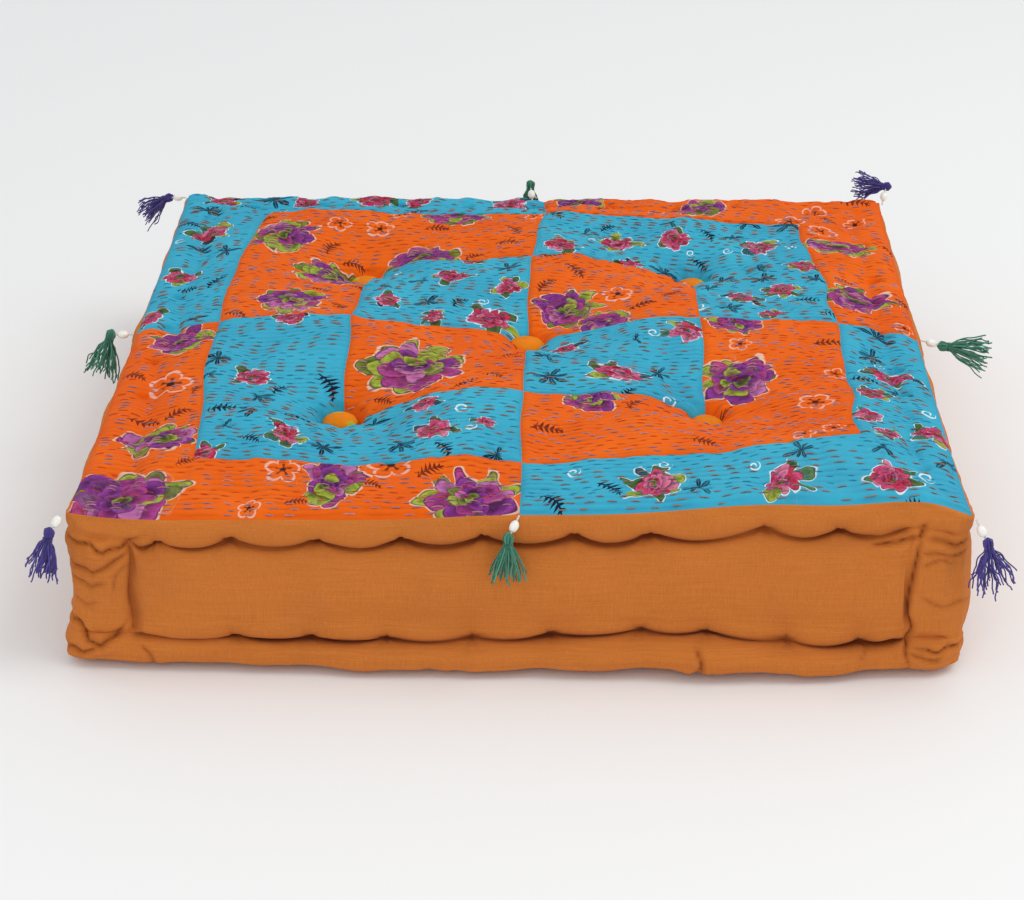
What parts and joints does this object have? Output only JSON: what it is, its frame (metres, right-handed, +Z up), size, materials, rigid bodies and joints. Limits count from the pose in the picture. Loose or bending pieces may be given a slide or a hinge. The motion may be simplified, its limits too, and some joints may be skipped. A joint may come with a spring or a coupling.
{
  "type": "floor cushion",
  "caption": "Square quilted patchwork floor cushion with a box side, rolled mattress edges, tufts with covered buttons, and beaded tassels along its top seam.",
  "frame": {"origin": "on the floor under the middle of the cushion", "axes": "+Z up from the floor through the quilted top, front towards -Y, +X to the right seen from the front"},
  "size_m": [0.7131, 0.6615, 0.1367],
  "materials": {
    "orange_print": "matte printed cotton",
    "turquoise_print": "matte printed cotton",
    "ochre_cotton": "matte plain weave cotton",
    "backing_cotton": "matte",
    "cotton_wadding": "matte fluffy",
    "twine": "matte",
    "tassel_thread": "matte",
    "bead": "glossy",
    "purple_yarn": "soft sheen",
    "green_yarn": "soft sheen"
  },
  "bodies": {
    "cushion": {"cotton_fill": "cotton_wadding", "quilt_backing": "backing_cotton", "bottom_panel": "ochre_cotton", "side_band_front": "ochre_cotton", "side_band_right": "ochre_cotton", "side_band_back": "ochre_cotton", "side_band_left": "ochre_cotton", "patch_inner_back_left": "turquoise_print", "patch_inner_back_right": "orange_print", "patch_inner_front_left": "orange_print", "patch_inner_front_right": "turquoise_print", "patch_middle_back_left": "orange_print", "patch_middle_back_right": "turquoise_print", "patch_middle_front_left": "turquoise_print", "patch_middle_front_right": "orange_print", "patch_outer_back_left": "turquoise_print", "patch_outer_back_right": "orange_print", "patch_outer_front_left": "orange_print", "patch_outer_front_right": "turquoise_print", "tuft_button_top_centre": "orange_print", "tuft_cord_centre": "twine", "tuft_button_bottom_centre": "ochre_cotton", "tuft_button_top_back_left": "orange_print", "tuft_cord_back_left": "twine", "tuft_button_bottom_back_left": "ochre_cotton", "tuft_button_top_back_right": "orange_print", "tuft_cord_back_right": "twine", "tuft_button_bottom_back_right": "ochre_cotton", "tuft_button_top_front_left": "orange_print", "tuft_cord_front_left": "twine", "tuft_button_bottom_front_left": "ochre_cotton", "tuft_button_top_front_right": "orange_print", "tuft_cord_front_right": "twine", "tuft_button_bottom_front_right": "ochre_cotton"},
    "thread_front_left": {"tassel_thread_front_left": "tassel_thread", "tassel_bead_front_left": "bead"},
    "tassel_front_left": {"tassel_front_left": "purple_yarn"},
    "thread_front_middle": {"tassel_thread_front_middle": "tassel_thread", "tassel_bead_front_middle": "bead"},
    "tassel_front_middle": {"tassel_front_middle": "green_yarn"},
    "thread_front_right": {"tassel_thread_front_right": "tassel_thread", "tassel_bead_front_right": "bead"},
    "tassel_front_right": {"tassel_front_right": "purple_yarn"},
    "thread_right_middle": {"tassel_thread_right_middle": "tassel_thread", "tassel_bead_right_middle": "bead"},
    "tassel_right_middle": {"tassel_right_middle": "green_yarn"},
    "thread_back_right": {"tassel_thread_back_right": "tassel_thread", "tassel_bead_back_right": "bead"},
    "tassel_back_right": {"tassel_back_right": "purple_yarn"},
    "thread_back_middle": {"tassel_thread_back_middle": "tassel_thread", "tassel_bead_back_middle": "bead"},
    "tassel_back_middle": {"tassel_back_middle": "green_yarn"},
    "thread_back_left": {"tassel_thread_back_left": "tassel_thread", "tassel_bead_back_left": "bead"},
    "tassel_back_left": {"tassel_back_left": "purple_yarn"},
    "thread_left_middle": {"tassel_thread_left_middle": "tassel_thread", "tassel_bead_left_middle": "bead"},
    "tassel_left_middle": {"tassel_left_middle": "green_yarn"}
  },
  "joints": [
    {"name": "swing_front_left", "type": "hinge", "parent": "cushion", "child": "thread_front_left", "pos_m": [-0.303, -0.303, 0.1162], "axis": [-0.7071, 0.7071, 0], "range_deg": [-5, 120]},
    {"name": "sway_front_left", "type": "hinge", "parent": "thread_front_left", "child": "tassel_front_left", "pos_m": [-0.31143, -0.3089, 0.10394], "axis": [0.6885, 0.6885, -0.2281], "range_deg": [-60, 60]},
    {"name": "swing_front_middle", "type": "hinge", "parent": "cushion", "child": "thread_front_middle", "pos_m": [0, -0.303, 0.1162], "axis": [-1, 0, 0], "range_deg": [-4, 115]},
    {"name": "sway_front_middle", "type": "hinge", "parent": "thread_front_middle", "child": "tassel_front_middle", "pos_m": [-0.0063, -0.31308, 0.10549], "axis": [0, 0.9784, -0.2068], "range_deg": [-60, 60]},
    {"name": "swing_front_right", "type": "hinge", "parent": "cushion", "child": "thread_front_right", "pos_m": [0.303, -0.303, 0.1162], "axis": [-0.7071, -0.7071, 0], "range_deg": [-5, 120]},
    {"name": "sway_front_right", "type": "hinge", "parent": "thread_front_right", "child": "tassel_front_right", "pos_m": [0.30988, -0.31064, 0.10394], "axis": [-0.6943, 0.6943, -0.1892], "range_deg": [-60, 60]},
    {"name": "swing_right_middle", "type": "hinge", "parent": "cushion", "child": "thread_right_middle", "pos_m": [0.303, 0, 0.1162], "axis": [0, -1, 0], "range_deg": [-38, 95]},
    {"name": "sway_right_middle", "type": "hinge", "parent": "thread_right_middle", "child": "tassel_right_middle", "pos_m": [0.31837, 0.00054, 0.11179], "axis": [-0.1046, 0, -0.9945], "range_deg": [-60, 60]},
    {"name": "swing_back_right", "type": "hinge", "parent": "cushion", "child": "thread_back_right", "pos_m": [0.303, 0.303, 0.1162], "axis": [0.7071, -0.7071, 0], "range_deg": [-90, 30]},
    {"name": "sway_back_right", "type": "hinge", "parent": "thread_back_right", "child": "tassel_back_right", "pos_m": [0.30667, 0.31431, 0.12691], "axis": [0.0376, 0.0376, 0.9986], "range_deg": [-90, 0]},
    {"name": "swing_back_middle", "type": "hinge", "parent": "cushion", "child": "thread_back_middle", "pos_m": [0, 0.303, 0.1162], "axis": [1, 0, 0], "range_deg": [-24, 70]},
    {"name": "sway_back_middle", "type": "hinge", "parent": "thread_back_middle", "child": "tassel_back_middle", "pos_m": [-0.00185, 0.31614, 0.12515], "axis": [0, -0.9783, -0.2074], "range_deg": [-60, 60]},
    {"name": "swing_back_left", "type": "hinge", "parent": "cushion", "child": "thread_back_left", "pos_m": [-0.303, 0.303, 0.1162], "axis": [0.7071, 0.7071, 0], "range_deg": [-50, 90]},
    {"name": "sway_back_left", "type": "hinge", "parent": "thread_back_left", "child": "tassel_back_left", "pos_m": [-0.31769, 0.30894, 0.11397], "axis": [0.3708, -0.3708, -0.8515], "range_deg": [-60, 60]},
    {"name": "swing_left_middle", "type": "hinge", "parent": "cushion", "child": "thread_left_middle", "pos_m": [-0.303, 0, 0.1162], "axis": [0, 1, 0], "range_deg": [-24, 100]},
    {"name": "sway_left_middle", "type": "hinge", "parent": "thread_left_middle", "child": "tassel_left_middle", "pos_m": [-0.31892, 0.00111, 0.11508], "axis": [0.9516, 0, -0.3075], "range_deg": [-60, 60]}
  ]
}
